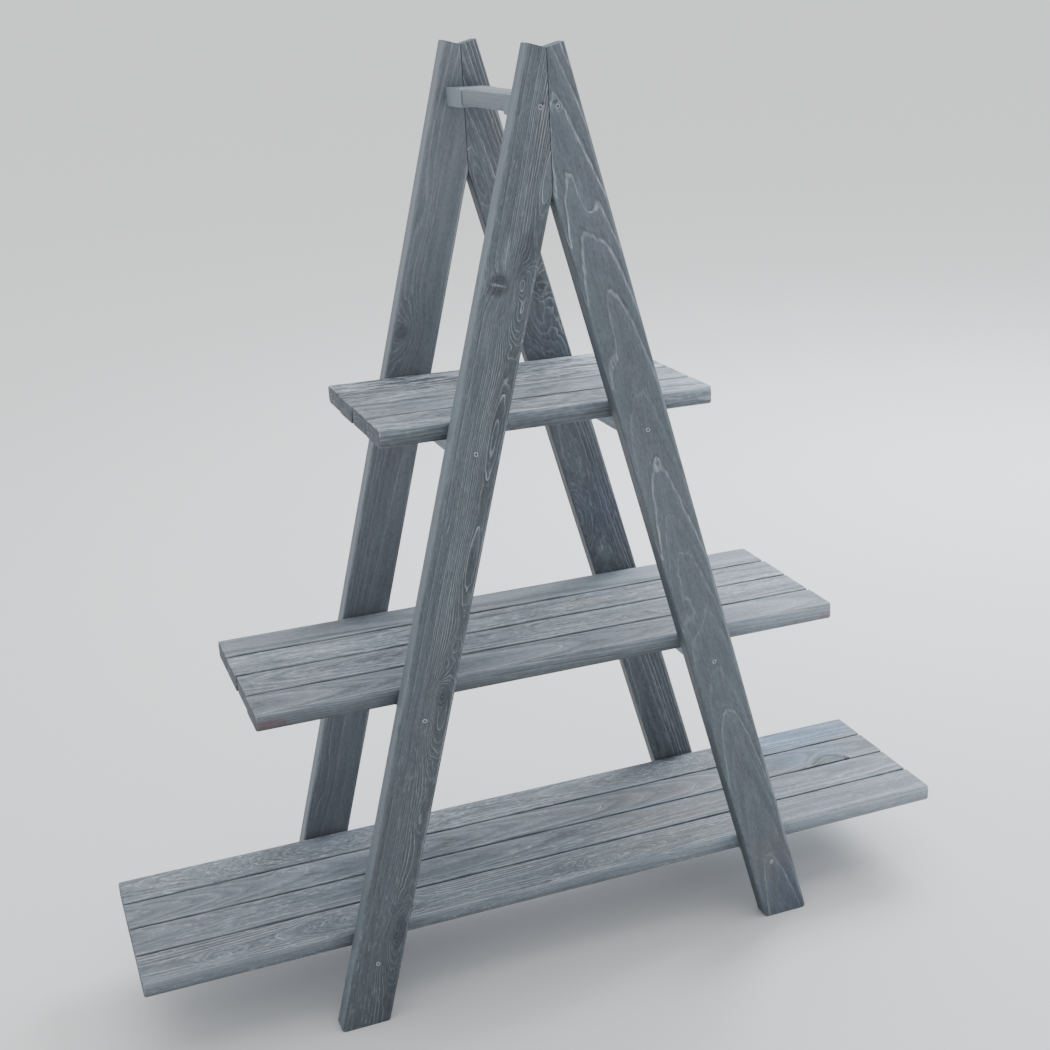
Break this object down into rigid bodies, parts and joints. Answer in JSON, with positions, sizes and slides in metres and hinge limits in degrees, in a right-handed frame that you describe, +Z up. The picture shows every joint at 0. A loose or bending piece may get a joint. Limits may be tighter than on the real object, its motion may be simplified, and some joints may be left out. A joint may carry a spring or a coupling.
{
  "type": "plant ladder stand",
  "caption": "Tall A-frame ladder stand of stained wood with tiered slatted shelves, longest at the bottom, for standing potted plants on.",
  "frame": {"origin": "on the floor, in the middle of the footprint", "axes": "+X along the shelves to the right, +Y from the front to the back, +Z up"},
  "size_m": [1.204, 0.3506, 1.26],
  "materials": {
    "leg_wood": "blue-grey stain, wire-brushed, semi-matt",
    "shelf_wood": "light blue-grey stain, wire-brushed, semi-matt",
    "rail_wood": "blue-grey stain, planed, semi-matt",
    "dowel_wood": "plain fluted beech, shown smooth",
    "screw_steel": "zinc plated"
  },
  "bodies": {
    "root": {"back_left_leg": "leg_wood", "back_right_leg": "leg_wood", "front_left_leg": "leg_wood", "front_right_leg": "leg_wood", "back_top_cleat": "rail_wood", "front_top_cleat": "rail_wood", "top_stretcher": "rail_wood", "bottom_left_bearer": "rail_wood", "bottom_right_bearer": "rail_wood", "middle_left_bearer": "rail_wood", "middle_right_bearer": "rail_wood", "top_left_bearer": "rail_wood", "top_right_bearer": "rail_wood", "bottom_shelf_slat_1": "shelf_wood", "bottom_shelf_slat_2": "shelf_wood", "bottom_shelf_slat_3": "shelf_wood", "bottom_shelf_slat_4": "shelf_wood", "middle_shelf_slat_1": "shelf_wood", "middle_shelf_slat_2": "shelf_wood", "middle_shelf_slat_3": "shelf_wood", "middle_shelf_slat_4": "shelf_wood", "top_shelf_slat_1": "shelf_wood", "top_shelf_slat_2": "shelf_wood", "top_shelf_slat_3": "shelf_wood", "top_shelf_slat_4": "shelf_wood", "bearer_screws": "screw_steel", "cleat_screws": "screw_steel", "slat_screws": "screw_steel", "stretcher_dowels": "dowel_wood"}
  },
  "joints": []
}
